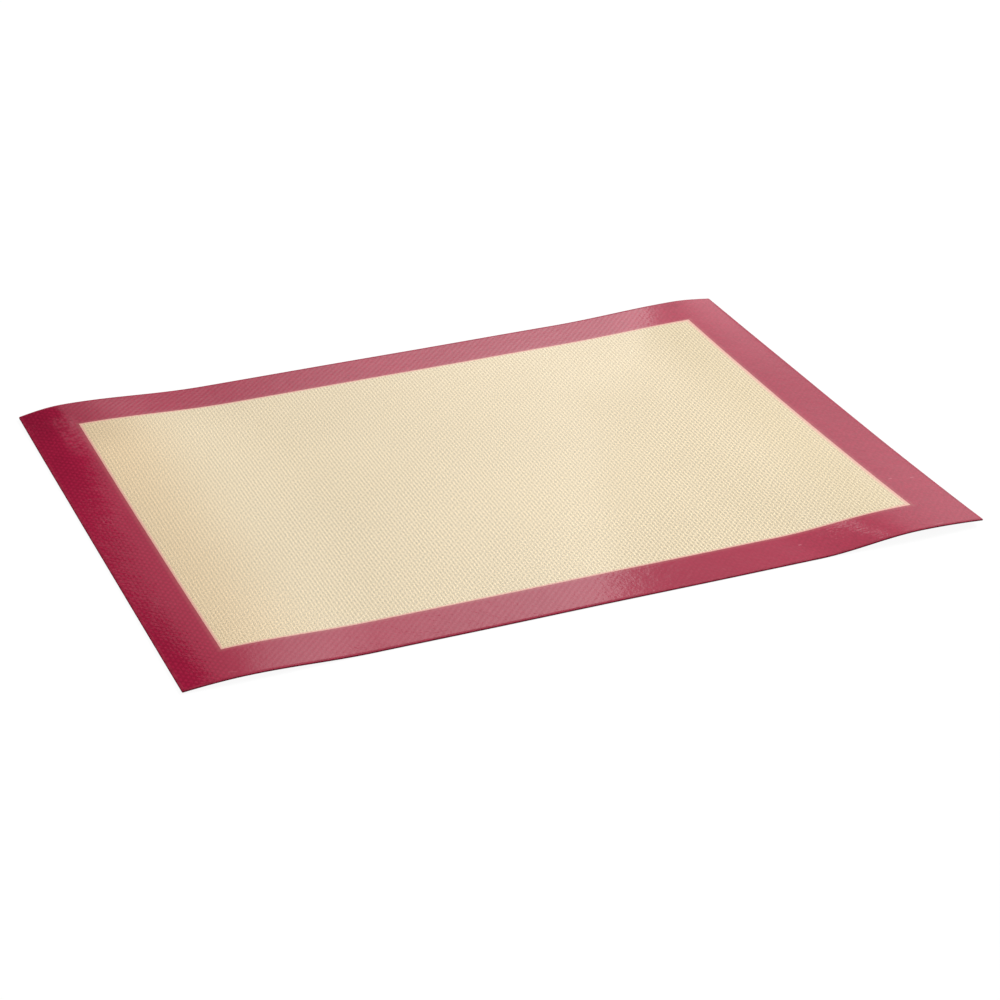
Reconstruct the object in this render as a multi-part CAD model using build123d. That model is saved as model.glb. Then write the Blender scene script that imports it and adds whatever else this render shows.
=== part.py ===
from build123d import *
import os

# Silicone baking mat: a woven glass cloth core, a clear silicone coat over and under its field,
# a pigmented silicone border over and under its margin, and a bead of the same silicone that
# closes the cut edge. Millimetres. X runs along the long side, Y from front to rear, Z up.
# The origin is the centre of the sheet, on the surface that it lies on.

# Outline of the sheet
mat_width = 400.0
mat_depth = 300.0
corner_radius = 0.4

# Laminate
cloth_thickness = 0.3
coat_thickness = 0.25
seal_width = 1.5

# Coloured border, from the sheet's edge to the field
left_border = 25.7
right_border = 25.2
front_border = 25.9
rear_border = 25.6

# Lie of the sheet: flat in the middle, with a low hump across each end, this high at the highest
# station, which lies just outside the front edge
hump_height = 4.2

# How far a cutting shape runs past what it cuts
overrun = 5.0

# Where the humps are set out along Y, as shares of half the depth and the overrun together
station_shares = (-1.0, 0.0, 1.0)

# The humps at those stations: crest height as a share of the highest, then the crest's distance
# from the centre and the lengths of the rise and the fall, as shares of half the width. The fall
# reaches the table at the sheet's edge or beyond it, so that the sheet stands on that edge.
left_hump_shares = (
    (0.510, 0.848, 0.286, 0.172),
    (0.380, 0.803, 0.407, 0.205),
    (0.875, 0.876, 0.372, 0.139),
)
right_hump_shares = (
    (1.000, 0.834, 0.267, 0.266),
    (0.160, 0.810, 0.417, 0.203),
    (0.533, 0.877, 0.366, 0.136),
)

# The middle is flat this far each way from the centre, and each end runs on as far as the second
# share before it is trimmed, both as shares of half the width
flat_reach_share = 0.37
far_end_share = 1.35

half_width = mat_width / 2
half_depth = mat_depth / 2
flat_reach = flat_reach_share * half_width
far_x = far_end_share * half_width
total_thickness = cloth_thickness + 2 * coat_thickness


def side_line(side, shares, height):
    """The lie of one end at one station, from the flat middle outwards, height above the table."""
    crest_share, place_share, rise_share, fall_share = shares
    crest_height = crest_share * hump_height
    rise = rise_share * half_width
    fall = fall_share * half_width
    crest_x = place_share * half_width
    joint = (side * flat_reach, height)
    inner_foot = (side * (crest_x - rise), height)
    rise_middle = (side * (crest_x - rise / 2), height + crest_height / 2)
    crest = (side * crest_x, height + crest_height)
    outer_foot = (side * (crest_x + fall), height)
    outwards = (side, 0)
    inwards = (-side, 0)
    return [
        Line(joint, inner_foot),
        TangentArc(inner_foot, rise_middle, tangent=outwards),
        TangentArc(crest, rise_middle, tangent=inwards),
        TangentArc(crest, outer_foot, tangent=outwards),
        Line(outer_foot, (side * far_x, height)),
    ]


def end_slab(side, hump_shares, height, thickness):
    """One end of a layer, lofted from front to rear through its sections."""
    sections = []
    for station_share, shares in zip(station_shares, hump_shares):
        lower = side_line(side, shares, height)
        upper = side_line(side, shares, height + thickness)
        inner_wall = Line((side * flat_reach, height), (side * flat_reach, height + thickness))
        outer_wall = Line((side * far_x, height), (side * far_x, height + thickness))
        station = Plane.XZ.offset(-station_share * (half_depth + overrun))
        sections.append(station * make_face(lower + upper + [inner_wall, outer_wall]))
    return loft(sections)


def middle_slab(height, thickness):
    """The flat middle of a layer."""
    depth = mat_depth + 2 * overrun
    return Pos(0, 0, height + thickness / 2) * Box(2 * flat_reach, depth, thickness)


def layer(height, thickness):
    """A whole untrimmed layer whose underside is height above the table in the flat middle."""
    slab = middle_slab(height, thickness)
    slab += end_slab(-1, left_hump_shares, height, thickness)
    slab += end_slab(1, right_hump_shares, height, thickness)
    return slab


def outline_prism(left, right, front, rear, radius=0):
    """A tall block over the part of the sheet that lies inside these margins."""
    width = mat_width - left - right
    depth = mat_depth - front - rear
    centre = Pos((left - right) / 2, (front - rear) / 2, -overrun)
    shape = RectangleRounded(width, depth, radius) if radius else Rectangle(width, depth)
    top = hump_height + total_thickness + overrun
    return centre * extrude(shape, top + overrun)


def border_band(slab):
    """The part of a layer that lies under or over the border, inside the edge seal."""
    return (slab & cloth_prism) - field_prism


mat_prism = outline_prism(0, 0, 0, 0, corner_radius)
cloth_prism = outline_prism(seal_width, seal_width, seal_width, seal_width)
field_prism = outline_prism(left_border, right_border, front_border, rear_border)

bottom_slab = layer(0, coat_thickness)
cloth_slab = layer(coat_thickness, cloth_thickness)
top_slab = layer(coat_thickness + cloth_thickness, coat_thickness)
full_slab = layer(0, total_thickness)

parts = {
    "bottom_coat": bottom_slab & field_prism,
    "bottom_border": border_band(bottom_slab),
    "glass_cloth": cloth_slab & cloth_prism,
    "top_coat": top_slab & field_prism,
    "top_border": border_band(top_slab),
    "edge_seal": (full_slab & mat_prism) - cloth_prism,
}

os.makedirs("parts", exist_ok=True)
for name, shape in parts.items():
    shape.label = name
    export_step(shape, f"parts/{name}.step")
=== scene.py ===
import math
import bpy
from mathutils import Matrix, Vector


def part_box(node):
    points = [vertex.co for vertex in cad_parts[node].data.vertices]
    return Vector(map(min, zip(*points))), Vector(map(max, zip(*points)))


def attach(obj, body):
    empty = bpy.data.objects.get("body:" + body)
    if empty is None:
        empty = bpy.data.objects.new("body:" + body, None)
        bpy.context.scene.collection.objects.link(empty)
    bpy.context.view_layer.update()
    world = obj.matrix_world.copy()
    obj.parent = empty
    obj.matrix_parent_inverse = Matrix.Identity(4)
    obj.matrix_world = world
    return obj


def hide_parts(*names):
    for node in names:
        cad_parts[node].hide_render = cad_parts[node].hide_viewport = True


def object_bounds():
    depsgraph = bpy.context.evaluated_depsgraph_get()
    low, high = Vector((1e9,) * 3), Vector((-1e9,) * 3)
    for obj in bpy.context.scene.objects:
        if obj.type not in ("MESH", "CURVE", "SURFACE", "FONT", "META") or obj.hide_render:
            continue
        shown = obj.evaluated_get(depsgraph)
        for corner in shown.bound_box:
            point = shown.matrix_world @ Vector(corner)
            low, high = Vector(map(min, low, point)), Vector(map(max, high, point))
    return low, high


bl_info = {
    "name": "Silicone Baking Mat",
    "version": (1, 0, 0),
    "blender": (4, 5, 0),
    "location": "View3D > Sidebar > Baking Mat",
    "description": "Builds a silicone baking mat from its coats, borders, edge seal and glass cloth",
    "category": "Object",
}

import bpy
import numpy as np
from bpy.props import FloatProperty, FloatVectorProperty, PointerProperty
from mathutils import Matrix, Vector

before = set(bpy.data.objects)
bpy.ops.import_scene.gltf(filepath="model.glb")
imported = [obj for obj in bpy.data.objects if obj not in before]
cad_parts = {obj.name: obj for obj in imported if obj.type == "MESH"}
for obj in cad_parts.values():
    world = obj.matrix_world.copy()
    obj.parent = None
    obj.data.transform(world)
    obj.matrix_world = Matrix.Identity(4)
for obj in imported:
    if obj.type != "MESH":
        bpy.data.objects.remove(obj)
cad_low, cad_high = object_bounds()

# The body that carries the whole mat
BODY = "root"

QUARTER_TURN = math.pi / 2

# Rectangles of the laminate, read from the frame
HALF_WIDTH = (cad_high.x - cad_low.x) / 2
HALF_DEPTH = (cad_high.y - cad_low.y) / 2
FIELD_LOW, FIELD_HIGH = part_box("top_coat")
CLOTH_LOW, CLOTH_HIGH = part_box("glass_cloth")
SEAL_WIDTH = CLOTH_LOW.x - cad_low.x

# Layer heights in the flat middle, metres above the table
COAT_THICKNESS = 0.00025
CLOTH_THICKNESS = 0.0003
CLOTH_BASE = COAT_THICKNESS
TOP_BASE = COAT_THICKNESS + CLOTH_THICKNESS
SHEET_THICKNESS = 2 * COAT_THICKNESS + CLOTH_THICKNESS

# Humps across the two ends, at the front, middle and rear station: the crest's share of the
# highest hump, then its distance from the centre and the rise and fall as shares of half the
# width. The fall steepens outwards and reaches the table near the sheet's edge. The front and
# rear stations lie STATION_OVERRUN outside the sheet.
STATION_OVERRUN = 0.005
LEFT_HUMP_SHARES = (
    (0.512, 0.848, 0.286, 0.172),
    (0.376, 0.804, 0.407, 0.198),
    (0.876, 0.885, 0.381, 0.128),
)
RIGHT_HUMP_SHARES = (
    (0.993, 0.834, 0.268, 0.293),
    (0.163, 0.810, 0.417, 0.193),
    (0.533, 0.879, 0.366, 0.124),
)

# Mesh of the sheet
GRID_STEP = 0.002
CORNER_STEPS = 4
RIM_STEPS = 5
CRISP_ANGLE = math.radians(40)
WELD_DISTANCE = 1e-6

# Single pale specks and scratches on the border, seen from above in metres: start, end, half width
# and strength
PALE_SPECKS = (
    ((-0.1770, -0.1446), (-0.1742, -0.1456), 0.0005, 0.20),
    ((0.1750, -0.1480), (0.1790, -0.1476), 0.0007, 0.20),
    ((0.1912, -0.0958), (0.1924, -0.0957), 0.0007, 0.30),
    ((0.1801, -0.0935), (0.1813, -0.0934), 0.0007, 0.30),
    ((0.0656, 0.1474), (0.0664, 0.1474), 0.0007, 0.50),
    ((0.1085, -0.1349), (0.1093, -0.1349), 0.0007, 0.45),
)

# Gloss of the silicone. The clear coat's is even, and the border's grows on the raised weave.
SILICONE_IOR = 1.41
CLEAR_COAT_WEIGHT = 0.45
CLEAR_COAT_ROUGHNESS = 0.07
BORDER_COAT_ROUGHNESS = 0.05

# Colours of the marks on the border, the pale one also a painted reflection near the rear left
# corner, and painted tints of the field's two ends: shade at the right, warmth at the left where the
# room's sheen doesn't reach
SCUFF_COLOUR = (0.75, 0.35, 0.40)
PALE_COLOUR = (0.80, 0.30, 0.36)
LEFT_PAINTED_WARMTH = (1.03, 0.95, 0.87)
RIGHT_PAINTED_SHADE = (0.930, 0.92, 0.88)

# Line on the sheet where the room's bright panel stops reflecting, past which the field's weave has
# more contrast, a painted reflection, and the border's gloss less: where it crosses the middle, and
# how far it moves to the right for each metre to the rear
SLANT_MIDDLE = 0.086
SLANT_RATE = 0.53

# How far the yarns stray, and the depth of the uneven seal and of the cloth's weave, in metres
YARN_WANDER = 0.0006
SEAL_RELIEF = 0.00008
CLOTH_RELIEF = 0.0001

# Scales of the noise textures, per metre
YARN_DRIFT_SCALE = 22.0
SMEAR_SCALE = 14.0
HAIR_SCALE = 420.0
HAIR_PATCH_SCALE = 33.0
FIELD_CLOUD_SCALE = 9.0
FIELD_GRAIN_SCALE = 2400.0
FRINGE_SCALE = 600.0
BORDER_CLOUD_SCALE = 12.0
BORDER_SPECK_SCALE = 900.0
WORN_AND_REFLECTION_PATCH_SCALE = 420.0
PEBBLE_SCALE = 700.0
SWELL_SCALE = 130.0
SEAL_BEAD_SCALE = 240.0

# Floor, lamp and camera, in metres. The floor's glow is what the camera sees of it.
FLOOR_REACH = 6.0
FLOOR_DROP = 0.0001
FLOOR_GREY = 0.1
FLOOR_GLOW = 0.93
LAMP_PLACE = (2.2, 0.6, 1.55)
LAMP_SIZE = 1.6
SENSOR_MILLIMETRES = 36
CLIP_START = 0.05
CLIP_END = 50

# Brightness of the room that the gloss shows, by degrees: of bearing, from straight behind the mat
# towards the right, for the panel and the left wall, and of height for the right wall
PANEL_LEVELS = (
    (8, 0.28), (12, 0.35), (14.5, 0.45), (16, 0.74), (18, 1.15),
    (20, 1.38), (22, 1.66), (23.5, 1.93), (24.75, 2.08), (25.0, 0.0),
)
RIGHT_WALL_LEVELS = (
    (-90, 0.3), (0, 1.0), (22, 1.08), (23.5, 0.96), (25, 0.9),
    (26.5, 0.82), (28, 0.65), (29, 0.6), (34, 0.6), (60, 0.3),
)
LEFT_WALL_LEVELS = ((-179, 0.3), (-60, 0.3), (-40, 0.0))


class MatLie(bpy.types.PropertyGroup):
    """How the sheet lies on the table."""

    hump_height: FloatProperty(
        name="Hump Height",
        description="Height of the highest hump across an end of the sheet",
        default=0.0042,
        unit="LENGTH",
    )
    ripple_height: FloatProperty(
        name="Ripple Height",
        description="Height of the faint waves that a rolled sheet keeps when it lies open",
        default=0.00006,
        unit="LENGTH",
    )
    ripple_length: FloatProperty(
        name="Ripple Length",
        description="Distance from one faint wave to the next",
        default=0.11,
        unit="LENGTH",
    )
    corner_radius: FloatProperty(
        name="Corner Radius",
        description="Radius of the mat's four corners, seen from above",
        default=0.0004,
        unit="LENGTH",
    )
    rim_radius: FloatProperty(
        name="Rim Radius",
        description="Radius of the rounded upper and lower corners of the edge seal",
        default=0.00025,
        unit="LENGTH",
    )


class MatWeave(bpy.types.PropertyGroup):
    """The plain weave of the glass cloth."""

    column_pitch: FloatProperty(
        name="Column Pitch",
        description="Spacing of the yarns that run from front to rear",
        default=0.00184,
        unit="LENGTH",
    )
    row_pitch: FloatProperty(
        name="Row Pitch",
        description="Spacing of the yarns that run from left to right",
        default=0.00196,
        unit="LENGTH",
    )
    field_relief: FloatProperty(
        name="Field Relief",
        description="Height of the weave that shows through the clear coat",
        default=0.00001,
        unit="LENGTH",
    )
    border_relief: FloatProperty(
        name="Border Relief",
        description="Height of the weave that shows through the pigmented coat",
        default=0.000012,
        unit="LENGTH",
    )


class MatFinish(bpy.types.PropertyGroup):
    """Colours and gloss of the silicone and the cloth."""

    yarn_colour: FloatVectorProperty(
        name="Yarn Colour",
        description="Glass yarn wetted by the clear coat, where it floats on top",
        default=(0.655, 0.529, 0.334),
        size=3,
        min=0,
        max=1,
        subtype="COLOR",
    )
    gap_colour: FloatVectorProperty(
        name="Gap Colour",
        description="Silicone between the yarns of the field",
        default=(0.975, 0.830, 0.583),
        size=3,
        min=0,
        max=1,
        subtype="COLOR",
    )
    border_colour: FloatVectorProperty(
        name="Border Colour",
        description="Pigmented silicone of the border",
        default=(0.40, 0.015, 0.056),
        size=3,
        min=0,
        max=1,
        subtype="COLOR",
    )
    seal_colour: FloatVectorProperty(
        name="Seal Colour",
        description="Pigmented silicone of the edge seal, which is thicker and so looks deeper",
        default=(0.37, 0.014, 0.05),
        size=3,
        min=0,
        max=1,
        subtype="COLOR",
    )
    fringe_colour: FloatVectorProperty(
        name="Fringe Colour",
        description="Where a trace of pigment has crept under the clear coat along the border",
        default=(0.86, 0.42, 0.36),
        size=3,
        min=0,
        max=1,
        subtype="COLOR",
    )
    cloth_colour: FloatVectorProperty(
        name="Cloth Colour",
        description="Bare glass cloth inside the laminate",
        default=(0.86, 0.84, 0.76),
        size=3,
        min=0,
        max=1,
        subtype="COLOR",
    )
    field_roughness: FloatProperty(
        name="Field Roughness",
        description="Roughness of the clear coat",
        default=0.38,
        min=0,
        max=1,
        subtype="FACTOR",
    )
    border_roughness: FloatProperty(
        name="Border Roughness",
        description="Roughness of the pigmented coat",
        default=0.035,
        min=0,
        max=1,
        subtype="FACTOR",
    )


class MatStage(bpy.types.PropertyGroup):
    """Floor, studio light and camera."""

    azimuth: FloatProperty(
        name="Camera Azimuth",
        description="Camera direction round the mat, from the front towards the right",
        default=math.radians(-21.957),
        subtype="ANGLE",
    )
    elevation: FloatProperty(
        name="Camera Elevation",
        description="Camera direction above the table",
        default=math.radians(27.223),
        subtype="ANGLE",
    )
    roll: FloatProperty(
        name="Camera Roll",
        description="Turn of the camera about its own axis",
        default=math.radians(-0.559),
        subtype="ANGLE",
    )
    distance: FloatProperty(
        name="Camera Distance",
        description="From the camera to the plane of its aim",
        default=1.4015,
        unit="LENGTH",
    )
    aim_right: FloatProperty(
        name="Aim Right",
        description="How far the aim lies to the right of the mat's centre",
        default=0.0094,
        unit="LENGTH",
    )
    aim_up: FloatProperty(
        name="Aim Up",
        description="How far the aim lies above the mat's centre, in the picture",
        default=-0.01499,
        unit="LENGTH",
    )
    lens: FloatProperty(
        name="Lens",
        description="Focal length in millimetres for a 36 mm sensor",
        default=100.526,
        unit="CAMERA",
    )
    key_power: FloatProperty(
        name="Key Power",
        description="Power of the large soft lamp on the right",
        default=82.0,
        unit="POWER",
    )
    fill_level: FloatProperty(
        name="Fill Level",
        description="Brightness of the even light from all round",
        default=0.44,
    )


SETTING_GROUPS = {
    "mat_lie": MatLie,
    "mat_weave": MatWeave,
    "mat_finish": MatFinish,
    "mat_stage": MatStage,
}


# Form of the sheet


def hump(distance, y, shares, hump_height):
    """Height of one end's hump, distance along X from the centre towards that end. From front to
    rear, its numbers follow a parabola through the three stations."""
    t = y / (HALF_DEPTH + STATION_OVERRUN)
    weights = (t * (t - 1) / 2, 1 - t * t, t * (t + 1) / 2)
    blended = [sum(w * share for w, share in zip(weights, column)) for column in zip(*shares)]
    crest_height = blended[0] * hump_height
    crest, rise, fall = (value * HALF_WIDTH for value in blended[1:])
    offset = distance - crest
    climb = (1 + np.cos(math.pi * np.clip(-offset / rise, 0, 1))) / 2
    drop = np.cos(QUARTER_TURN * np.clip(offset / fall, 0, 1))
    return crest_height * np.where(offset < 0, climb, drop)


def ripple(x, y, settings):
    """Faint waves over the whole sheet, which come down to the table at their lowest: two that
    cross, and a shorter, weaker one."""
    turn = 2 * math.pi / settings.ripple_length
    weak = 0.5

    def angle(rate_x, rate_y, start):
        return turn * (rate_x * x + rate_y * y) + start

    wave = np.sin(angle(1.0, 0.31, 0.7)) * np.cos(angle(-0.1386, 0.63, 1.9))
    wave += weak * np.sin(angle(-0.85, 1.36, 0.4))
    return settings.ripple_height * (1 + weak + wave) / (1 + weak)


def sheet_height(x, y):
    """Height of the sheet's underside above the table."""
    settings = bpy.context.scene.mat_lie
    left = hump(-x, y, LEFT_HUMP_SHARES, settings.hump_height)
    right = hump(x, y, RIGHT_HUMP_SHARES, settings.hump_height)
    return left + right + ripple(x, y, settings)


def grid_lines(stops):
    """Even grid lines through all the stops, at most one grid step apart."""
    lines = [stops[0]]
    for start, end in zip(stops, stops[1:]):
        count = max(1, math.ceil((end - start) / GRID_STEP))
        lines += [start + (end - start) * i / count for i in range(1, count + 1)]
    return np.array(lines)


def new_object(name, vertices, faces):
    """A smooth-shaded object with crisp edges where its faces turn sharply."""
    mesh = bpy.data.meshes.new(name)
    mesh.from_pydata([tuple(v) for v in vertices], [], faces)
    mesh.validate()
    mesh.update()
    mesh.shade_smooth()
    mesh.set_sharp_from_angle(angle=CRISP_ANGLE)
    obj = bpy.data.objects.new(name, mesh)
    bpy.context.scene.collection.objects.link(obj)
    return obj


def layer_slab(name, low, high, base, thickness, hole=None):
    """One layer of the laminate over the rectangle low to high, as a closed slab that follows the
    lie of the sheet. hole is the rectangle that a border leaves open."""
    x_stops = [low.x, high.x] + ([hole[0].x, hole[1].x] if hole else [])
    y_stops = [low.y, high.y] + ([hole[0].y, hole[1].y] if hole else [])
    xs = grid_lines(sorted(x_stops))
    ys = grid_lines(sorted(y_stops))
    x_mid = (xs[1:] + xs[:-1]) / 2
    y_mid = (ys[1:] + ys[:-1]) / 2
    solid = np.ones((len(x_mid), len(y_mid)), bool)
    if hole:
        in_x = (x_mid > hole[0].x) & (x_mid < hole[1].x)
        in_y = (y_mid > hole[0].y) & (y_mid < hole[1].y)
        solid = ~(in_x[:, None] & in_y[None, :])

    grid_x, grid_y = np.meshgrid(xs, ys, indexing="ij")
    bottom = base + sheet_height(grid_x, grid_y)
    layers = [np.stack([grid_x, grid_y, bottom + rise], -1) for rise in (0, thickness)]
    vertices = np.concatenate([layer.reshape(-1, 3) for layer in layers])
    row = len(ys)
    upper = len(xs) * row

    faces = []
    padded = np.pad(solid, 1)
    for i, j in zip(*np.nonzero(solid)):
        a, b, c, d = i * row + j, (i + 1) * row + j, (i + 1) * row + j + 1, i * row + j + 1
        faces.append((a, d, c, b))
        faces.append((a + upper, b + upper, c + upper, d + upper))
        neighbours = {
            (a, b): padded[i + 1, j],
            (b, c): padded[i + 2, j + 1],
            (c, d): padded[i + 1, j + 2],
            (d, a): padded[i, j + 1],
        }
        faces += [(p, q, q + upper, p + upper) for (p, q), full in neighbours.items() if not full]

    used = np.unique(np.concatenate([np.array(face) for face in faces]))
    renumber = np.zeros(len(vertices), int)
    renumber[used] = np.arange(len(used))
    faces = [tuple(int(renumber[v]) for v in face) for face in faces]
    return new_object(name, vertices[used], faces)


def seal_stations(corner_radius):
    """Points round the cloth's cut edge with their outward steps, anticlockwise. A step reaches the
    mat's edge where it is scaled by the seal's width. Each corner is one point from which the
    steps fan out."""
    low, high = CLOTH_LOW, CLOTH_HIGH
    corners = [(low.x, low.y), (high.x, low.y), (high.x, high.y), (low.x, high.y)]
    round_share = corner_radius / SEAL_WIDTH
    stations = []
    for side, corner in enumerate(corners):
        start_angle = (side - 1) * QUARTER_TURN
        outward = (round(math.cos(start_angle)), round(math.sin(start_angle)))
        before = (outward[1], -outward[0])
        for step in range(CORNER_STEPS + 1):
            angle = start_angle - QUARTER_TURN * (1 - step / CORNER_STEPS)
            turned = (math.cos(angle), math.sin(angle))
            reach = [(b + o) * (1 - round_share) + round_share * t
                     for b, o, t in zip(before, outward, turned)]
            stations.append((corner, tuple(reach)))
        along = 0 if side % 2 == 0 else 1
        goal = corners[(side + 1) % 4]
        stops = sorted((corner[along], goal[along]))
        places = list(grid_lines(stops))
        if goal[along] < corner[along]:
            places.reverse()
        for place in places:
            point = (place, corner[1]) if along == 0 else (corner[0], place)
            stations.append((point, outward))
    return stations


def seal_profile(rim_radius):
    """Section of the edge seal as (outward, height), from its lower inner corner anticlockwise."""
    points = [(0, 0)]
    for centre_z, first_angle in ((rim_radius, -QUARTER_TURN), (SHEET_THICKNESS - rim_radius, 0)):
        for step in range(RIM_STEPS + 1):
            angle = first_angle + QUARTER_TURN * step / RIM_STEPS
            outward = SEAL_WIDTH - rim_radius + rim_radius * math.cos(angle)
            points.append((outward, centre_z + rim_radius * math.sin(angle)))
    points.append((0, SHEET_THICKNESS))
    return points


def edge_seal_mesh():
    """The bead round the cut edge, swept round the cloth with rounded corners."""
    settings = bpy.context.scene.mat_lie
    stations = seal_stations(settings.corner_radius)
    profile = seal_profile(settings.rim_radius)
    point = np.array([s[0] for s in stations])
    outward = np.array([s[1] for s in stations])
    rings = []
    for reach, height in profile:
        x = point[:, 0] + outward[:, 0] * reach
        y = point[:, 1] + outward[:, 1] * reach
        rings.append(np.stack([x, y, height + sheet_height(x, y)], -1))
    vertices = np.stack(rings, 1).reshape(-1, 3)
    count, width = len(stations), len(profile)
    faces = []
    for i in range(count):
        here, there = i * width, (i + 1) % count * width
        for j in range(width):
            k = (j + 1) % width
            faces.append((here + j, there + j, there + k, here + k))
    obj = new_object("edge_seal_bead", vertices, faces)
    weld = obj.modifiers.new("Weld corners", "WELD")
    weld.merge_threshold = WELD_DISTANCE
    return obj


# Node trees


class Nodes:
    """Adds nodes to one tree and links them, so that a material reads as a list of steps."""

    def __init__(self, tree):
        self.tree = tree

    def add(self, kind, **settings):
        node = self.tree.nodes.new(kind)
        for name, value in settings.items():
            setattr(node, name, value)
        return node

    def feed(self, socket, value):
        if isinstance(value, bpy.types.NodeSocket):
            self.tree.links.new(value, socket)
        else:
            socket.default_value = value

    def math(self, operation, *values):
        node = self.add("ShaderNodeMath", operation=operation)
        for socket, value in zip(node.inputs, values):
            self.feed(socket, value)
        return node.outputs[0]

    def product(self, value, *factors):
        """A value times all the factors."""
        for factor in factors:
            value = self.math("MULTIPLY", value, factor)
        return value

    def scaled(self, value, factor, offset):
        """A value times the factor, plus the offset."""
        return self.math("MULTIPLY_ADD", value, factor, offset)

    def vector(self, operation, *values):
        node = self.add("ShaderNodeVectorMath", operation=operation)
        for socket, value in zip(node.inputs, values):
            self.feed(socket, value)
        return node.outputs[0]

    def dot(self, first, second):
        node = self.add("ShaderNodeVectorMath", operation="DOT_PRODUCT")
        self.feed(node.inputs[0], first)
        self.feed(node.inputs[1], second)
        return node.outputs["Value"]

    def separate(self, vector):
        node = self.add("ShaderNodeSeparateXYZ")
        self.feed(node.inputs[0], vector)
        return node.outputs

    def combine(self, x, y, z=0.0):
        node = self.add("ShaderNodeCombineXYZ")
        for socket, value in zip(node.inputs, (x, y, z)):
            self.feed(socket, value)
        return node.outputs[0]

    def feed_all(self, node, settings):
        """Feeds each named input of a node."""
        for name, value in settings.items():
            self.feed(node.inputs[name], value)

    def smooth(self, value, start, end, low=0.0, high=1.0):
        """A smooth step of value from low at start to high at end."""
        node = self.add("ShaderNodeMapRange", interpolation_type="SMOOTHSTEP")
        limits = {"Value": value, "From Min": start, "From Max": end, "To Min": low, "To Max": high}
        self.feed_all(node, limits)
        return node.outputs["Result"]

    def mix(self, factor, first, second, blend="MIX"):
        """Mixes two colours."""
        node = self.add("ShaderNodeMix", data_type="RGBA", blend_type=blend)
        self.feed_all(node, {"Factor": factor, "A": rgba(first), "B": rgba(second)})
        return node.outputs["Result"]

    def noise(self, position, scale, detail=2.0, roughness=0.5, distortion=0.0, output="Fac"):
        node = self.add("ShaderNodeTexNoise")
        self.feed_all(node, {"Vector": position, "Scale": scale, "Detail": detail})
        self.feed_all(node, {"Roughness": roughness, "Distortion": distortion})
        return node.outputs[output]

    def group(self, tree, **inputs):
        """Places a node group. Underscores in the names stand for spaces."""
        node = self.add("ShaderNodeGroup", node_tree=tree)
        for name, value in inputs.items():
            self.feed(node.inputs[name.replace("_", " ")], value)
        return node.outputs


def rgba(colour):
    """A colour with its alpha, or a socket as it is."""
    if isinstance(colour, bpy.types.NodeSocket):
        return colour
    return tuple(colour)[:3] + (1.0,)


def new_group(name, inputs, outputs):
    """An empty shader node group with its sockets. Returns its node helper, the sockets that give
    its inputs and the sockets that take its outputs."""
    tree = bpy.data.node_groups.new(name, "ShaderNodeTree")
    for socket_name, kind, default in inputs:
        socket = tree.interface.new_socket(socket_name, in_out="INPUT", socket_type=kind)
        if default is not None:
            socket.default_value = default
    for socket_name, kind in outputs:
        tree.interface.new_socket(socket_name, in_out="OUTPUT", socket_type=kind)
    nodes = Nodes(tree)
    entry = nodes.add("NodeGroupInput")
    leave = nodes.add("NodeGroupOutput")
    return nodes, entry.outputs, leave.inputs


def shared_group(name, build):
    """The node group of that name, built the first time that it is asked for."""
    return bpy.data.node_groups.get(name) or build(name)


def build_plain_weave(name):
    """Plain weave: columns along Y pass over and under rows along X."""
    nodes, given, out = new_group(
        name,
        [
            ("Position", "NodeSocketVector", None),
            ("Column Pitch", "NodeSocketFloat", 0.0018),
            ("Row Pitch", "NodeSocketFloat", 0.0018),
            ("Wander", "NodeSocketFloat", 0.0002),
        ],
        [
            ("Relief", "NodeSocketFloat"),
            ("Column Crown", "NodeSocketFloat"),
            ("Column Float", "NodeSocketFloat"),
            ("Twist", "NodeSocketFloat"),
            ("Float Tone", "NodeSocketFloat"),
        ],
    )
    drift = nodes.noise(given["Position"], YARN_DRIFT_SCALE, detail=1.0, output="Color")
    stray = nodes.add("ShaderNodeVectorMath", operation="SCALE")
    nodes.feed(stray.inputs[0], nodes.vector("SUBTRACT", drift, (0.5, 0.5, 0.5)))
    nodes.feed(stray.inputs["Scale"], given["Wander"])
    place = nodes.separate(nodes.vector("ADD", given["Position"], stray.outputs[0]))
    column = nodes.math("DIVIDE", place["X"], given["Column Pitch"])
    row = nodes.math("DIVIDE", place["Y"], given["Row Pitch"])
    column_wave = nodes.math("SINE", nodes.product(column, math.pi))
    row_wave = nodes.math("SINE", nodes.product(row, math.pi))
    level, crimp_depth, roundness, blend = 0.6, 0.4, 0.6, 0.15

    def top(wave, crossing, depth):
        """Height of the yarns of one way, lifted where they cross over those of the other."""
        crown = nodes.math("POWER", nodes.math("ABSOLUTE", wave), roundness)
        lift = nodes.product(nodes.math("SIGN", wave), crossing)
        return nodes.product(crown, nodes.scaled(lift, depth, level))

    column_top = top(column_wave, row_wave, crimp_depth)
    row_top = top(row_wave, column_wave, -crimp_depth)
    nodes.feed(out["Relief"], nodes.math("SMOOTH_MAX", column_top, row_top, blend))
    nodes.feed(out["Column Crown"], nodes.math("ABSOLUTE", column_wave))
    nodes.feed(out["Column Float"], nodes.product(column_wave, row_wave))
    slant = nodes.product(nodes.math("SUBTRACT", column, row), math.pi)
    nodes.feed(out["Twist"], nodes.math("COSINE", slant))
    tone = nodes.add("ShaderNodeTexWhiteNoise", noise_dimensions="2D")
    cell = nodes.combine(nodes.math("FLOOR", column), nodes.math("FLOOR", row))
    nodes.feed(tone.inputs["Vector"], cell)
    nodes.feed(out["Float Tone"], tone.outputs["Value"])
    return nodes.tree


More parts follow.
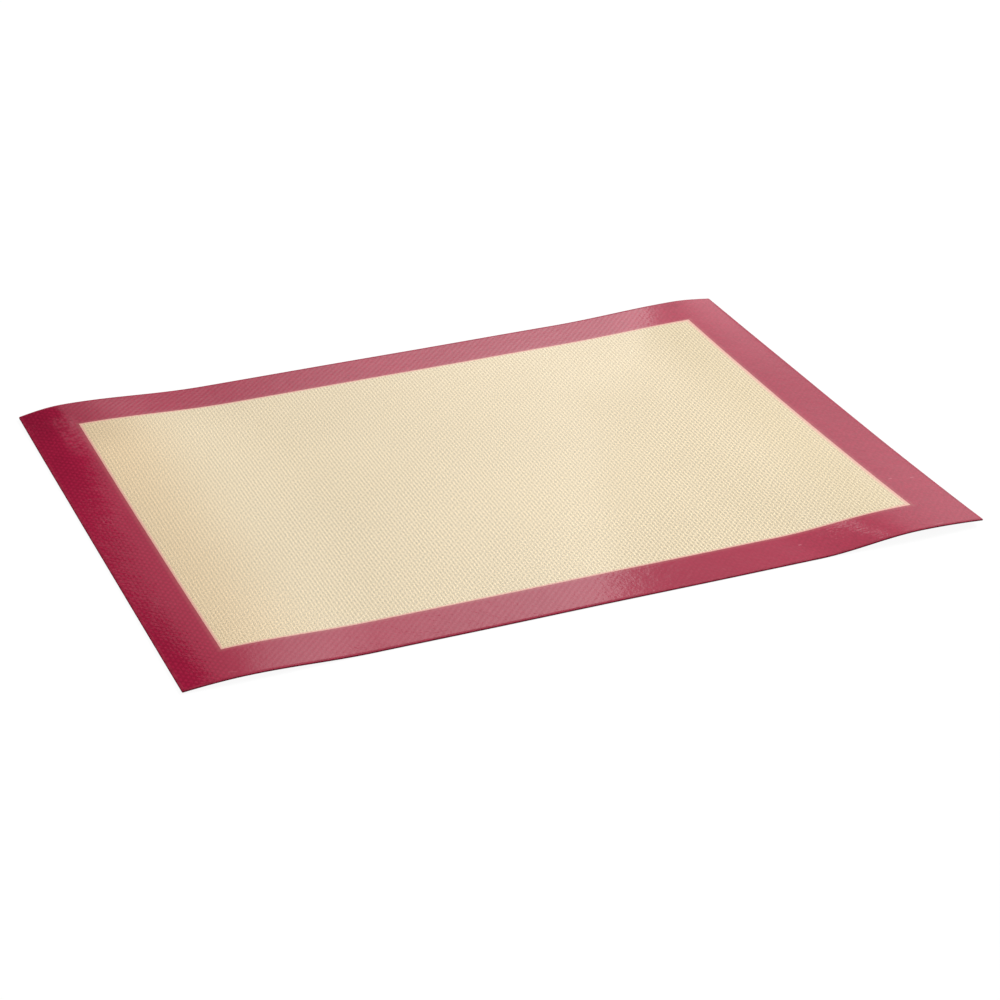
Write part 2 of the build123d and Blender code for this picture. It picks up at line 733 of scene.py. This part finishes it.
def build_inset(name):
    """How far a point lies inside a rectangle, in metres, and negative outside it."""
    nodes, given, out = new_group(
        name,
        [
            ("Position", "NodeSocketVector", None),
            ("Centre", "NodeSocketVector", None),
            ("Half Size", "NodeSocketVector", None),
        ],
        [("Inset", "NodeSocketFloat")],
    )
    away = nodes.vector("ABSOLUTE", nodes.vector("SUBTRACT", given["Position"], given["Centre"]))
    left = nodes.separate(nodes.vector("SUBTRACT", given["Half Size"], away))
    nodes.feed(out["Inset"], nodes.math("MINIMUM", left["X"], left["Y"]))
    return nodes.tree


def build_handling_marks(name):
    """Smears of handling and hair-fine scuffs on silicone."""
    nodes, given, out = new_group(
        name,
        [("Position", "NodeSocketVector", None), ("Amount", "NodeSocketFloat", 0.5)],
        [("Smear", "NodeSocketFloat"), ("Scuff", "NodeSocketFloat")],
    )
    smear = nodes.noise(given["Position"], SMEAR_SCALE, detail=3.0, roughness=0.6, distortion=0.6)
    nodes.feed(out["Smear"], nodes.product(nodes.smooth(smear, 0.35, 0.75), given["Amount"]))
    stretched = nodes.vector("MULTIPLY", given["Position"], (1.0, 0.22, 1.0))
    lines = nodes.noise(stretched, HAIR_SCALE, detail=1.0, distortion=2.0)
    off_line = nodes.math("ABSOLUTE", nodes.math("SUBTRACT", lines, 0.5))
    hair = nodes.smooth(off_line, 0.0, 0.012, 1.0, 0.0)
    patches = nodes.smooth(nodes.noise(given["Position"], HAIR_PATCH_SCALE), 0.56, 0.72)
    nodes.feed(out["Scuff"], nodes.product(hair, patches, given["Amount"]))
    return nodes.tree


# Materials. Masks by place start and end so many metres from the sheet's centre.


def fresh_nodes(owner):
    """The node helper of a new material or world, emptied."""
    owner.use_nodes = True
    owner.node_tree.nodes.clear()
    return Nodes(owner.node_tree)


def new_material(name):
    """An empty material. Returns it with its node helper, its shader and the object position."""
    material = bpy.data.materials.new(name)
    nodes = fresh_nodes(material)
    output = nodes.add("ShaderNodeOutputMaterial")
    shader = nodes.add("ShaderNodeBsdfPrincipled")
    nodes.feed(output.inputs["Surface"], shader.outputs[0])
    position = nodes.add("ShaderNodeTexCoord").outputs["Object"]
    return material, nodes, shader, position


def bump(nodes, shader, height, distance):
    """Feeds the shader's normal with a height, which counts in steps of distance, in metres."""
    node = nodes.add("ShaderNodeBump")
    node.inputs["Strength"].default_value = 1.0
    node.inputs["Distance"].default_value = distance
    nodes.feed(node.inputs["Height"], height)
    nodes.feed(shader.inputs["Normal"], node.outputs[0])


def weave_at(nodes, position):
    """The weave of this mat's cloth at a position."""
    weave = bpy.context.scene.mat_weave
    return nodes.group(
        shared_group("Plain Weave", build_plain_weave),
        Position=position,
        Column_Pitch=weave.column_pitch,
        Row_Pitch=weave.row_pitch,
        Wander=YARN_WANDER,
    )


def marks_at(nodes, position, amount):
    """The handling marks at a position."""
    tree = shared_group("Handling Marks", build_handling_marks)
    return nodes.group(tree, Position=position, Amount=amount)


def field_inset(nodes, position):
    """How far a position lies inside the field's edge, and negative on the border."""
    centre = (FIELD_LOW + FIELD_HIGH) / 2
    half = (FIELD_HIGH - FIELD_LOW) / 2
    tree = shared_group("Inset", build_inset)
    return nodes.group(tree, Position=position, Centre=centre, Half_Size=half)["Inset"]


def toned(nodes, colour, tone):
    """A colour made lighter or darker by a tone round 1."""
    return nodes.mix(1.0, colour, nodes.combine(tone, tone, tone), blend="MULTIPLY")


def past_slant(nodes, place):
    """How far a point lies to the right of the slanting line, which runs from the middle of the
    front edge to near the rear right corner."""
    return nodes.math("SUBTRACT", nodes.scaled(place["Y"], -SLANT_RATE, place["X"]), SLANT_MIDDLE)


def speck_mask(nodes, position, start, end, half_width, strength):
    """A mask along the straight line from start to end, soft to half_width away."""
    away = nodes.vector("SUBTRACT", position, (*start, 0.0))
    reach = math.dist(start, end)
    along = ((end[0] - start[0]) / reach, (end[1] - start[1]) / reach, 0.0)
    across = (-along[1], along[0], 0.0)
    run = nodes.dot(away, along)
    past_end = nodes.math("MAXIMUM", nodes.math("SUBTRACT", run, reach), nodes.product(run, -1.0))
    off = nodes.math("MAXIMUM", nodes.math("ABSOLUTE", nodes.dot(away, across)), past_end)
    return nodes.smooth(off, 0.0, half_width, strength, 0.0)


def field_silicone():
    """Clear coat over the glass cloth: pale silicone between tan floats of wetted yarn, and a trace
    of pigment along the border."""
    finish = bpy.context.scene.mat_finish
    material, nodes, shader, position = new_material("field_silicone")
    weave = weave_at(nodes, position)
    place = nodes.separate(position)
    beyond = past_slant(nodes, place)

    # Yarn or gap: the columns, their floats, the slant of the twist and each float's own tone
    yarns = nodes.scaled(weave["Column Crown"], 0.80, -0.51)
    # Painted reflection too: the floats show more towards the right
    floats = nodes.product(weave["Column Float"], nodes.smooth(place["X"], -0.17, 0.06, 0.12, 0.19))
    body = nodes.scaled(weave["Twist"], 0.03, nodes.math("ADD", yarns, floats))
    body = nodes.scaled(nodes.math("SUBTRACT", weave["Float Tone"], 0.5), 0.05, body)

    # The weave's contrast is a painted reflection: it rises past the slant, where the panel's
    # reflection ends in sparkle, and falls at the left end, which catches none
    clear = nodes.product(nodes.smooth(beyond, -0.01, 0.02, 0.0, 0.42),
                          nodes.smooth(beyond, 0.05, 0.11, 1.0, 0.4))
    clear = nodes.math("ADD", clear, nodes.smooth(place["X"], -0.135, -0.105, 0.76, 1.0))
    body = nodes.scaled(body, clear, 0.5)
    colour = nodes.mix(body, finish.gap_colour, finish.yarn_colour)

    # Fine grain, without height so that it stays even on the humps
    grain_place = nodes.vector("MULTIPLY", position, (1.0, 0.6, 0.0))
    grain = nodes.noise(grain_place, FIELD_GRAIN_SCALE, detail=0.0)
    colour = toned(nodes, colour, nodes.scaled(grain, 1.6, 0.215))

    # Clouds, painted shade in the rear left corner, painted shade at the right end, and the left end
    # painted warmer where the room's sheen doesn't reach
    # Painted shade: the right end darker, where the lamp lights the hump's rise
    painted_shade_right = nodes.smooth(place["X"], 0.125, 0.165)
    colour = nodes.mix(painted_shade_right, colour, RIGHT_PAINTED_SHADE, blend="MULTIPLY")
    clouds = nodes.noise(position, FIELD_CLOUD_SCALE, detail=3.0)
    cloudy = nodes.smooth(clouds, 0.25, 0.75, 0.98, 1.02)
    shaded = nodes.product(nodes.smooth(place["X"], -0.168, -0.13, 0.10, 0.0),
                           nodes.smooth(place["Y"], 0.085, 0.118))
    colour = toned(nodes, colour, nodes.math("SUBTRACT", cloudy, shaded))
    # Painted: the left end warmer, as it looks without the room's sheen
    painted_warmth_left = nodes.product(nodes.smooth(place["X"], -0.17, -0.115, 1.0, 0.0),
                         nodes.smooth(place["Y"], 0.0, 0.12, 0.75, 1.0))
    colour = nodes.mix(painted_warmth_left, colour, LEFT_PAINTED_WARMTH, blend="MULTIPLY")

    # Ragged fringe of pigment, wider at the right end
    ragged = nodes.scaled(nodes.noise(position, FRINGE_SCALE, detail=1.0), 0.0008, -0.0004)
    edge = nodes.math("ADD", field_inset(nodes, position), ragged)
    width = nodes.smooth(place["X"], 0.155, 0.172, 0.0018, 0.0030)
    fringe = nodes.smooth(edge, 0.0002, width, 0.85, 0.0)
    colour = nodes.mix(fringe, colour, finish.fringe_colour)
    nodes.feed(shader.inputs["Base Color"], colour)

    marks = marks_at(nodes, position, 0.5)
    nodes.feed(shader.inputs["Roughness"], nodes.scaled(marks["Smear"], 0.10, finish.field_roughness))
    shader.inputs["IOR"].default_value = SILICONE_IOR
    shader.inputs["Coat Weight"].default_value = CLEAR_COAT_WEIGHT
    shader.inputs["Coat Roughness"].default_value = CLEAR_COAT_ROUGHNESS
    shader.inputs["Coat IOR"].default_value = SILICONE_IOR
    bump(nodes, shader, weave["Relief"], bpy.context.scene.mat_weave.field_relief)
    return material


def border_silicone():
    """Pigmented coat: glossy raspberry with the weave faintly raised in it."""
    finish = bpy.context.scene.mat_finish
    material, nodes, shader, position = new_material("border_silicone")
    weave = weave_at(nodes, position)
    marks = marks_at(nodes, position, 0.6)
    place = nodes.separate(position)
    beyond = past_slant(nodes, place)

    # Tone of the pigment: clouds, yarns and fine specks, each stronger or weaker by place, with
    # painted shade and light by place
    clouds = nodes.noise(position, BORDER_CLOUD_SCALE, detail=3.0)
    yarn = nodes.scaled(weave["Column Crown"], 0.17, -0.108)
    yarn = nodes.scaled(weave["Column Float"], 0.15, yarn)
    yarn_depth = nodes.smooth(place["X"], -0.184, -0.168, 1.0, 0.25)
    speck_place = nodes.vector("MULTIPLY", position, (1.0, 0.5, 1.0))
    speck = nodes.noise(speck_place, BORDER_SPECK_SCALE, detail=1.0)
    speckled = nodes.math("MAXIMUM", nodes.smooth(place["Y"], 0.0, 0.12),
                          nodes.smooth(place["X"], 0.08, 0.12))
    speck_depth = nodes.scaled(speckled, 0.30, 0.20)
    # Painted shade in the rear left corner
    corner = nodes.product(nodes.smooth(place["X"], -0.188, -0.135, 1.0, 0.0),
                           nodes.smooth(place["Y"], 0.10, 0.135))
    tone = nodes.product(
        nodes.smooth(clouds, 0.3, 0.7, 0.95, 1.05),
        nodes.scaled(yarn, yarn_depth, 1.0),
        nodes.scaled(nodes.math("SUBTRACT", speck, 0.5), speck_depth, 1.0),
        # Painted shade on the left end's outer flank, painted light right of the middle, and painted
        # shade at the right end
        nodes.smooth(place["X"], -0.192, -0.180, 0.92, 1.0),
        nodes.smooth(place["X"], 0.03, 0.09, 1.0, 1.04),
        nodes.smooth(place["X"], 0.15, 0.18, 1.0, 0.94),
        nodes.scaled(corner, -0.18, 1.0),
    )
    colour = toned(nodes, finish.border_colour, tone)

    # Paler at the field's edge, on scuffs, in the patch near the rear left corner, which is partly
    # scuffed and partly a painted reflection, and on specks
    edge = field_inset(nodes, position)
    colour = nodes.mix(nodes.smooth(edge, -0.0028, 0.0, 0.0, 0.06), colour, finish.gap_colour)
    colour = nodes.mix(nodes.product(marks["Scuff"], 0.5), colour, SCUFF_COLOUR)
    patchy = nodes.noise(position, WORN_AND_REFLECTION_PATCH_SCALE)
    # Patch near the rear left corner: scuffed, and paler as a painted reflection of the room
    pale = nodes.product(
        nodes.smooth(place["X"], -0.188, -0.183, 0.0, 0.09),
        nodes.smooth(place["X"], -0.179, -0.172, 1.0, 0.0),
        nodes.smooth(place["Y"], 0.085, 0.105),
        nodes.smooth(place["Y"], 0.128, 0.14, 1.0, 0.0),
        nodes.smooth(patchy, 0.35, 0.65, 0.3, 1.7),
    )
    for start, end, half_width, strength in PALE_SPECKS:
        mask = speck_mask(nodes, position, start, end, half_width, strength)
        pale = nodes.math("MAXIMUM", pale, mask)
    colour = nodes.mix(pale, colour, PALE_COLOUR)
    nodes.feed(shader.inputs["Base Color"], colour)

    # Gloss: smears dull it, and the slanting ridges over the twist catch more of the room
    ridges = nodes.scaled(weave["Twist"], 0.5, 0.5)
    rough = nodes.scaled(marks["Smear"], 0.03, finish.border_roughness)
    rough = nodes.scaled(ridges, nodes.smooth(beyond, -0.012, 0.004, 0.035, 0.01), rough)
    nodes.feed(shader.inputs["Roughness"], rough)
    shader.inputs["IOR"].default_value = SILICONE_IOR
    rear_glaze = nodes.smooth(place["X"], -0.12, -0.04, 2.4, 1.5)
    glaze = nodes.product(
        ridges,
        nodes.smooth(beyond, -0.004, 0.008, 0.22, 0.05),
        nodes.smooth(place["X"], -0.178, -0.165, 0.6, 1.0),
        nodes.smooth(place["Y"], 0.10, 0.125, 1.0, rear_glaze),
    )
    nodes.feed(shader.inputs["Coat Weight"], glaze)
    shader.inputs["Coat Roughness"].default_value = BORDER_COAT_ROUGHNESS
    shader.inputs["Coat IOR"].default_value = SILICONE_IOR

    # Surface: pebbles, broad swells and the weave, as multiples of the relief
    surface = nodes.product(nodes.noise(position, PEBBLE_SCALE, detail=1.5), 2.6)
    surface = nodes.scaled(nodes.noise(position, SWELL_SCALE, detail=1.0), 4.5, surface)
    surface = nodes.scaled(weave["Relief"], 0.3, surface)
    bump(nodes, shader, surface, bpy.context.scene.mat_weave.border_relief)
    return material


def seal_silicone():
    """Edge seal: the same silicone laid on as a bead, deeper in colour and slightly uneven."""
    finish = bpy.context.scene.mat_finish
    material, nodes, shader, position = new_material("seal_silicone")
    beads = nodes.noise(position, SEAL_BEAD_SCALE, detail=3.0)
    colour = toned(nodes, finish.seal_colour, nodes.smooth(beads, 0.3, 0.7, 0.85, 1.12))
    nodes.feed(shader.inputs["Base Color"], colour)
    nodes.feed(shader.inputs["Roughness"], nodes.smooth(beads, 0.3, 0.7, 0.22, 0.34))
    shader.inputs["IOR"].default_value = SILICONE_IOR
    bump(nodes, shader, beads, SEAL_RELIEF)
    return material


def glass_cloth_fabric():
    """Bare plain-woven glass cloth, darker between its yarns."""
    finish = bpy.context.scene.mat_finish
    material, nodes, shader, position = new_material("glass_cloth_fabric")
    weave = weave_at(nodes, position)
    shadow_share = 0.55
    shadow = [value * shadow_share for value in finish.cloth_colour]
    colour = nodes.mix(nodes.smooth(weave["Relief"], 0.1, 0.8), shadow, finish.cloth_colour)
    colour = toned(nodes, colour, nodes.scaled(weave["Float Tone"], 0.08, 0.93))
    nodes.feed(shader.inputs["Base Color"], colour)
    nodes.feed(shader.inputs["Roughness"], nodes.smooth(weave["Relief"], 0.2, 0.9, 0.75, 0.55))
    bump(nodes, shader, weave["Relief"], CLOTH_RELIEF)
    return material


# Pieces


def dress(obj, make_material, node):
    """Gives a piece its material and its body, and hides the CAD node that it stands for. The
    material has its function's name, and is made for the first piece that asks for it."""
    material = bpy.data.materials.get(make_material.__name__) or make_material()
    obj.data.materials.append(material)
    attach(obj, BODY)
    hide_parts(node)


class MakeCoats(bpy.types.Operator):
    """Make the clear silicone coats over and under the field"""

    bl_idname = "baking_mat.make_coats"
    bl_label = "Make Coats"

    def execute(self, context):
        for name, node, base in (
            ("top_coat_skin", "top_coat", TOP_BASE),
            ("bottom_coat_skin", "bottom_coat", 0.0),
        ):
            obj = layer_slab(name, FIELD_LOW, FIELD_HIGH, base, COAT_THICKNESS)
            dress(obj, field_silicone, node)
        return {"FINISHED"}


class MakeBorders(bpy.types.Operator):
    """Make the pigmented silicone frames over and under the margin"""

    bl_idname = "baking_mat.make_borders"
    bl_label = "Make Borders"

    def execute(self, context):
        hole = (FIELD_LOW, FIELD_HIGH)
        for name, node, base in (
            ("top_border_skin", "top_border", TOP_BASE),
            ("bottom_border_skin", "bottom_border", 0.0),
        ):
            obj = layer_slab(name, CLOTH_LOW, CLOTH_HIGH, base, COAT_THICKNESS, hole)
            dress(obj, border_silicone, node)
        return {"FINISHED"}


class MakeSeal(bpy.types.Operator):
    """Make the silicone bead that closes the cut edge of the cloth"""

    bl_idname = "baking_mat.make_seal"
    bl_label = "Make Edge Seal"

    def execute(self, context):
        obj = edge_seal_mesh()
        dress(obj, seal_silicone, "edge_seal")
        return {"FINISHED"}


class MakeCloth(bpy.types.Operator):
    bl_idname = "baking_mat.make_cloth"
    bl_label = "Make Glass Cloth"

    def execute(self, context):
        obj = layer_slab("glass_cloth_core", CLOTH_LOW, CLOTH_HIGH, CLOTH_BASE, CLOTH_THICKNESS)
        dress(obj, glass_cloth_fabric, "glass_cloth")
        return {"FINISHED"}


# Stage


def make_camera(settings):
    """The camera at the photograph's viewing angle."""
    sin_a, cos_a = math.sin(settings.azimuth), math.cos(settings.azimuth)
    sin_e, cos_e = math.sin(settings.elevation), math.cos(settings.elevation)
    back = Vector((sin_a * cos_e, -cos_a * cos_e, sin_e))
    level = Vector((cos_a, sin_a, 0))
    upright = back.cross(level)
    sin_r, cos_r = math.sin(settings.roll), math.cos(settings.roll)
    right = cos_r * level + sin_r * upright
    up = -sin_r * level + cos_r * upright
    data = bpy.data.cameras.new("camera")
    data.lens = settings.lens
    data.sensor_width = SENSOR_MILLIMETRES
    data.clip_start = CLIP_START
    data.clip_end = CLIP_END
    camera = bpy.data.objects.new("camera", data)
    location = back * settings.distance + right * settings.aim_right + up * settings.aim_up
    turn = Matrix((right, up, back)).transposed()
    camera.matrix_world = Matrix.Translation(location) @ turn.to_4x4()
    bpy.context.scene.collection.objects.link(camera)
    bpy.context.scene.camera = camera


def make_floor():
    """A white floor that keeps the mat's shadow."""
    reach = FLOOR_REACH
    mesh = bpy.data.meshes.new("floor")
    corners = [(-reach, -reach, 0), (reach, -reach, 0), (reach, reach, 0), (-reach, reach, 0)]
    mesh.from_pydata(corners, [], [(0, 1, 2, 3)])
    floor = bpy.data.objects.new("floor", mesh)
    floor.location.z = -FLOOR_DROP
    bpy.context.scene.collection.objects.link(floor)
    material = bpy.data.materials.new("floor_white")
    nodes = fresh_nodes(material)
    output = nodes.add("ShaderNodeOutputMaterial")
    paint = nodes.add("ShaderNodeBsdfDiffuse")
    paint.inputs["Color"].default_value = (FLOOR_GREY, FLOOR_GREY, FLOOR_GREY, 1)
    glow = nodes.add("ShaderNodeEmission")
    glow.inputs["Color"].default_value = (1, 1, 1, 1)
    seen = nodes.add("ShaderNodeLightPath").outputs["Is Camera Ray"]
    nodes.feed(glow.inputs["Strength"], nodes.product(seen, FLOOR_GLOW))
    both = nodes.add("ShaderNodeAddShader")
    nodes.feed(both.inputs[0], paint.outputs[0])
    nodes.feed(both.inputs[1], glow.outputs[0])
    nodes.feed(output.inputs["Surface"], both.outputs[0])
    mesh.materials.append(material)


def make_surroundings(settings):
    """Even fill light, white behind the mat, and a room for the gloss to show: dim at the far left,
    dark up to a bright panel behind the mat, which ends sharply, and a dimmer wall on the right and
    above. Places in the room are in degrees of bearing or height."""
    world = bpy.data.worlds.new("studio")
    nodes = fresh_nodes(world)
    output = nodes.add("ShaderNodeOutputWorld")
    look = nodes.separate(nodes.add("ShaderNodeTexCoord").outputs["Generated"])
    bearing = nodes.math("DEGREES", nodes.math("ARCTAN2", look["X"], look["Y"]))
    height = nodes.math("DEGREES", nodes.math("ARCSINE", look["Z"]))
    path = nodes.add("ShaderNodeLightPath").outputs

    def leaning(rate, level_height):
        """The bearing, for an upright edge that leans by this rate from where it has this height."""
        return nodes.scaled(nodes.math("SUBTRACT", height, level_height), -rate, bearing)

    def level_at(angle, stops):
        """The brightness at an angle, on a ramp through the stops."""
        ramp = nodes.add("ShaderNodeValToRGB")
        elements = ramp.color_ramp.elements
        while len(elements) < len(stops):
            elements.new(1.0)
        for element, (degrees, level) in zip(elements, stops):
            element.position = (degrees + 180) / 360
            element.color = (level, level, level, 1)
        nodes.feed(ramp.inputs[0], nodes.math("DIVIDE", nodes.math("ADD", angle, 180.0), 360.0))
        return nodes.separate(ramp.outputs[0])["X"]

    def background(strength):
        node = nodes.add("ShaderNodeBackground")
        node.inputs["Color"].default_value = (1, 1, 1, 1)
        nodes.feed(node.inputs["Strength"], strength)
        return node.outputs[0]

    def by_ray(kind, others, chosen):
        """One background for a kind of ray, and another for the others."""
        node = nodes.add("ShaderNodeMixShader")
        for socket, value in zip(node.inputs, (path[kind], others, chosen)):
            nodes.feed(socket, value)
        return node.outputs[0]

    # The panel leans, and is brighter higher up
    panel_place = leaning(0.13, 25.6)
    slope = nodes.scaled(nodes.math("SUBTRACT", height, 27.0), 0.05, 1.0)
    panel = nodes.product(
        level_at(panel_place, PANEL_LEVELS),
        nodes.smooth(leaning(0.6, 28.4), 8.3, 9.7),
        nodes.math("MAXIMUM", slope, 0.0),
        nodes.smooth(height, 21.5, 24.5, 0.6, 1.0),
    )

    # The right wall begins where the panel ends, and above it
    above = nodes.product(nodes.smooth(height, 31.0, 32.0), nodes.smooth(bearing, 14.0, 19.0))
    beside = nodes.smooth(panel_place, 24.8, 25.05)
    panel = nodes.product(panel, nodes.math("SUBTRACT", 1.0, above))
    right = nodes.product(
        level_at(height, RIGHT_WALL_LEVELS),
        nodes.smooth(bearing, 60.0, 140.0, 1.0, 0.3),
        nodes.math("MAXIMUM", above, beside),
    )
    left = level_at(bearing, LEFT_WALL_LEVELS)
    room = nodes.math("ADD", nodes.math("ADD", panel, right), left)
    unseen = by_ray("Is Glossy Ray", background(settings.fill_level), background(room))
    nodes.feed(output.inputs["Surface"], by_ray("Is Camera Ray", unseen, background(1.0)))
    bpy.context.scene.world = world


def make_lamp(name, location, size, power):
    """A square soft lamp that points at the mat's centre."""
    data = bpy.data.lights.new(name, "AREA")
    data.shape = "SQUARE"
    data.size = size
    data.energy = power
    lamp = bpy.data.objects.new(name, data)
    lamp.location = location
    lamp.rotation_mode = "QUATERNION"
    lamp.rotation_quaternion = Vector(location).to_track_quat("Z", "Y")
    lamp.visible_glossy = False
    bpy.context.scene.collection.objects.link(lamp)


class MakeStage(bpy.types.Operator):
    """Make the floor, the studio light and the camera"""

    bl_idname = "baking_mat.make_stage"
    bl_label = "Make Stage"

    def execute(self, context):
        settings = context.scene.mat_stage
        context.scene.view_settings.view_transform = "Standard"
        make_floor()
        make_surroundings(settings)
        make_lamp("key_lamp", LAMP_PLACE, LAMP_SIZE, settings.key_power)
        make_camera(settings)
        return {"FINISHED"}


OPERATORS = (MakeCoats, MakeBorders, MakeSeal, MakeCloth, MakeStage)


class BakingMatPanel(bpy.types.Panel):
    """Lists the mat's settings and the operators that build it."""

    bl_idname = "VIEW3D_PT_baking_mat"
    bl_label = "Baking Mat"
    bl_space_type = "VIEW_3D"
    bl_region_type = "UI"
    bl_category = "Baking Mat"

    def draw(self, context):
        for group_name, group in SETTING_GROUPS.items():
            box = self.layout.box()
            box.label(text=group.__doc__)
            settings = getattr(context.scene, group_name)
            for name in group.__annotations__:
                box.prop(settings, name)
        for operator in OPERATORS:
            self.layout.operator(operator.bl_idname)


def register():
    for group_name, group in SETTING_GROUPS.items():
        bpy.utils.register_class(group)
        setattr(bpy.types.Scene, group_name, PointerProperty(type=group))
    for cls in OPERATORS + (BakingMatPanel,):
        bpy.utils.register_class(cls)


def unregister():
    for cls in reversed(OPERATORS + (BakingMatPanel,)):
        bpy.utils.unregister_class(cls)
    for group_name, group in reversed(SETTING_GROUPS.items()):
        delattr(bpy.types.Scene, group_name)
        bpy.utils.unregister_class(group)


def main():
    register()
    bpy.ops.baking_mat.make_stage()
    bpy.ops.baking_mat.make_coats()
    bpy.ops.baking_mat.make_borders()
    bpy.ops.baking_mat.make_seal()
    bpy.ops.baking_mat.make_cloth()


if __name__ == "__main__":
    main()
